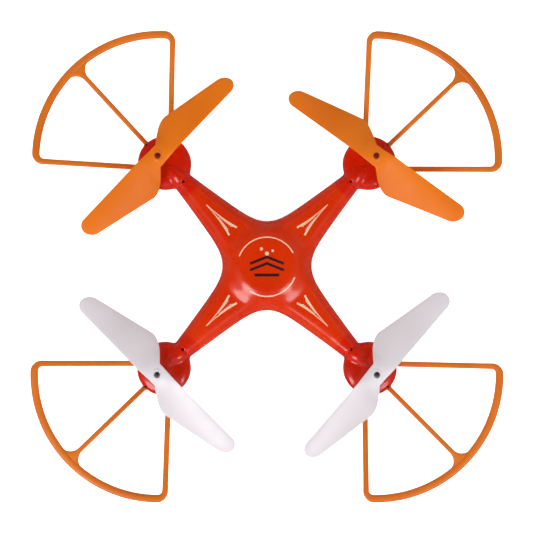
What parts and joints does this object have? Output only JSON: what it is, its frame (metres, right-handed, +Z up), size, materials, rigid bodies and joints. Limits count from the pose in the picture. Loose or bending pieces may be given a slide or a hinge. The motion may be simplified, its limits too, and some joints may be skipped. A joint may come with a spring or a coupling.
{
  "type": "quadcopter drone",
  "caption": "Toy quadcopter with a glossy star-shaped body, geared motor pods that stand on rubber-footed legs, two-bladed propellers and quarter-ring propeller guards.",
  "frame": {"origin": "on the ground under the middle of the body, centre of the bounding box's bottom", "axes": "+X to the right, +Y forward (the side with the orange propellers), +Z up along the rotor shafts"},
  "size_m": [0.3102, 0.3102, 0.0497],
  "materials": {
    "body_red": "glossy moulded orange-red",
    "guard_orange": "satin moulded orange",
    "blade_orange": "satin orange",
    "blade_white": "satin off-white",
    "gear_white": "natural nylon",
    "steel": "bright ground steel",
    "screw_steel": "dark screw steel",
    "motor_steel": "drawn motor can",
    "brass": "turned brass",
    "foot_rubber": "soft black rubber",
    "lens_clear": "clear frosted lens",
    "circuit_board": "green solder mask",
    "battery_wrap": "silver cell wrap",
    "switch_black": "black nylon",
    "print_cream": "cream printed marks on the upper shell",
    "print_dark": "dark printed mark on the upper shell"
  },
  "bodies": {
    "airframe": {"upper_shell": "body_red", "lower_shell": "body_red", "battery_door_pin": "steel", "power_switch_housing": "switch_black", "battery_pack": "battery_wrap", "circuit_board": "circuit_board", "gearbox_base_front_right": "body_red", "motor_front_right": "motor_steel", "foot_cap_front_right": "foot_rubber", "led_lens_front_right": "lens_clear", "shaft_bush_front_right": "brass", "prop_guard_front_right": "guard_orange", "guard_screw_front_right": "screw_steel", "gearbox_base_front_left": "body_red", "motor_front_left": "motor_steel", "foot_cap_front_left": "foot_rubber", "led_lens_front_left": "lens_clear", "shaft_bush_front_left": "brass", "prop_guard_front_left": "guard_orange", "guard_screw_front_left": "screw_steel", "gearbox_base_rear_left": "body_red", "motor_rear_left": "motor_steel", "foot_cap_rear_left": "foot_rubber", "led_lens_rear_left": "lens_clear", "shaft_bush_rear_left": "brass", "prop_guard_rear_left": "guard_orange", "guard_screw_rear_left": "screw_steel", "gearbox_base_rear_right": "body_red", "motor_rear_right": "motor_steel", "foot_cap_rear_right": "foot_rubber", "led_lens_rear_right": "lens_clear", "shaft_bush_rear_right": "brass", "prop_guard_rear_right": "guard_orange", "guard_screw_rear_right": "screw_steel"},
    "battery_door": {"battery_door": "body_red"},
    "power_switch_knob": {"power_switch_knob": "switch_black"},
    "rotor_front_right": {"propeller_front_right": "blade_orange", "propeller_screw_front_right": "screw_steel", "rotor_shaft_front_right": "steel", "main_gear_front_right": "gear_white"},
    "pinion_front_right": {"motor_pinion_front_right": "brass"},
    "rotor_front_left": {"propeller_front_left": "blade_orange", "propeller_screw_front_left": "screw_steel", "rotor_shaft_front_left": "steel", "main_gear_front_left": "gear_white"},
    "pinion_front_left": {"motor_pinion_front_left": "brass"},
    "rotor_rear_left": {"propeller_rear_left": "blade_white", "propeller_screw_rear_left": "screw_steel", "rotor_shaft_rear_left": "steel", "main_gear_rear_left": "gear_white"},
    "pinion_rear_left": {"motor_pinion_rear_left": "brass"},
    "rotor_rear_right": {"propeller_rear_right": "blade_white", "propeller_screw_rear_right": "screw_steel", "rotor_shaft_rear_right": "steel", "main_gear_rear_right": "gear_white"},
    "pinion_rear_right": {"motor_pinion_rear_right": "brass"}
  },
  "joints": [
    {"name": "battery_door_hinge", "type": "hinge", "parent": "airframe", "child": "battery_door", "pos_m": [0, -0.0284, 0.011], "axis": [1, 0, 0], "range_deg": [0, 95]},
    {"name": "power_switch_slide", "type": "slide", "parent": "airframe", "child": "power_switch_knob", "axis": [1, 0, 0], "range_m": [0, 0.003]},
    {"name": "rotor_spin_front_right", "type": "hinge", "parent": "airframe", "child": "rotor_front_right", "pos_m": [0.071, 0.071, 0.0475], "axis": [0, 0, 1], "continuous": true},
    {"name": "pinion_spin_front_right", "type": "hinge", "parent": "airframe", "child": "pinion_front_right", "pos_m": [0.06294, 0.06294, 0.0296], "axis": [0, 0, 1], "continuous": true},
    {"name": "rotor_spin_front_left", "type": "hinge", "parent": "airframe", "child": "rotor_front_left", "pos_m": [-0.071, 0.071, 0.0475], "axis": [0, 0, 1], "continuous": true},
    {"name": "pinion_spin_front_left", "type": "hinge", "parent": "airframe", "child": "pinion_front_left", "pos_m": [-0.06294, 0.06294, 0.0296], "axis": [0, 0, 1], "continuous": true},
    {"name": "rotor_spin_rear_left", "type": "hinge", "parent": "airframe", "child": "rotor_rear_left", "pos_m": [-0.071, -0.071, 0.0475], "axis": [0, 0, 1], "continuous": true},
    {"name": "pinion_spin_rear_left", "type": "hinge", "parent": "airframe", "child": "pinion_rear_left", "pos_m": [-0.06294, -0.06294, 0.0296], "axis": [0, 0, 1], "continuous": true},
    {"name": "rotor_spin_rear_right", "type": "hinge", "parent": "airframe", "child": "rotor_rear_right", "pos_m": [0.071, -0.071, 0.0475], "axis": [0, 0, 1], "continuous": true},
    {"name": "pinion_spin_rear_right", "type": "hinge", "parent": "airframe", "child": "pinion_rear_right", "pos_m": [0.06294, -0.06294, 0.0296], "axis": [0, 0, 1], "continuous": true}
  ],
  "couplings": [
    {"joint": "pinion_spin_front_right", "follows": "rotor_spin_front_right", "ratio": -3.75},
    {"joint": "pinion_spin_front_left", "follows": "rotor_spin_front_left", "ratio": -3.75},
    {"joint": "pinion_spin_rear_left", "follows": "rotor_spin_rear_left", "ratio": -3.75},
    {"joint": "pinion_spin_rear_right", "follows": "rotor_spin_rear_right", "ratio": -3.75}
  ]
}
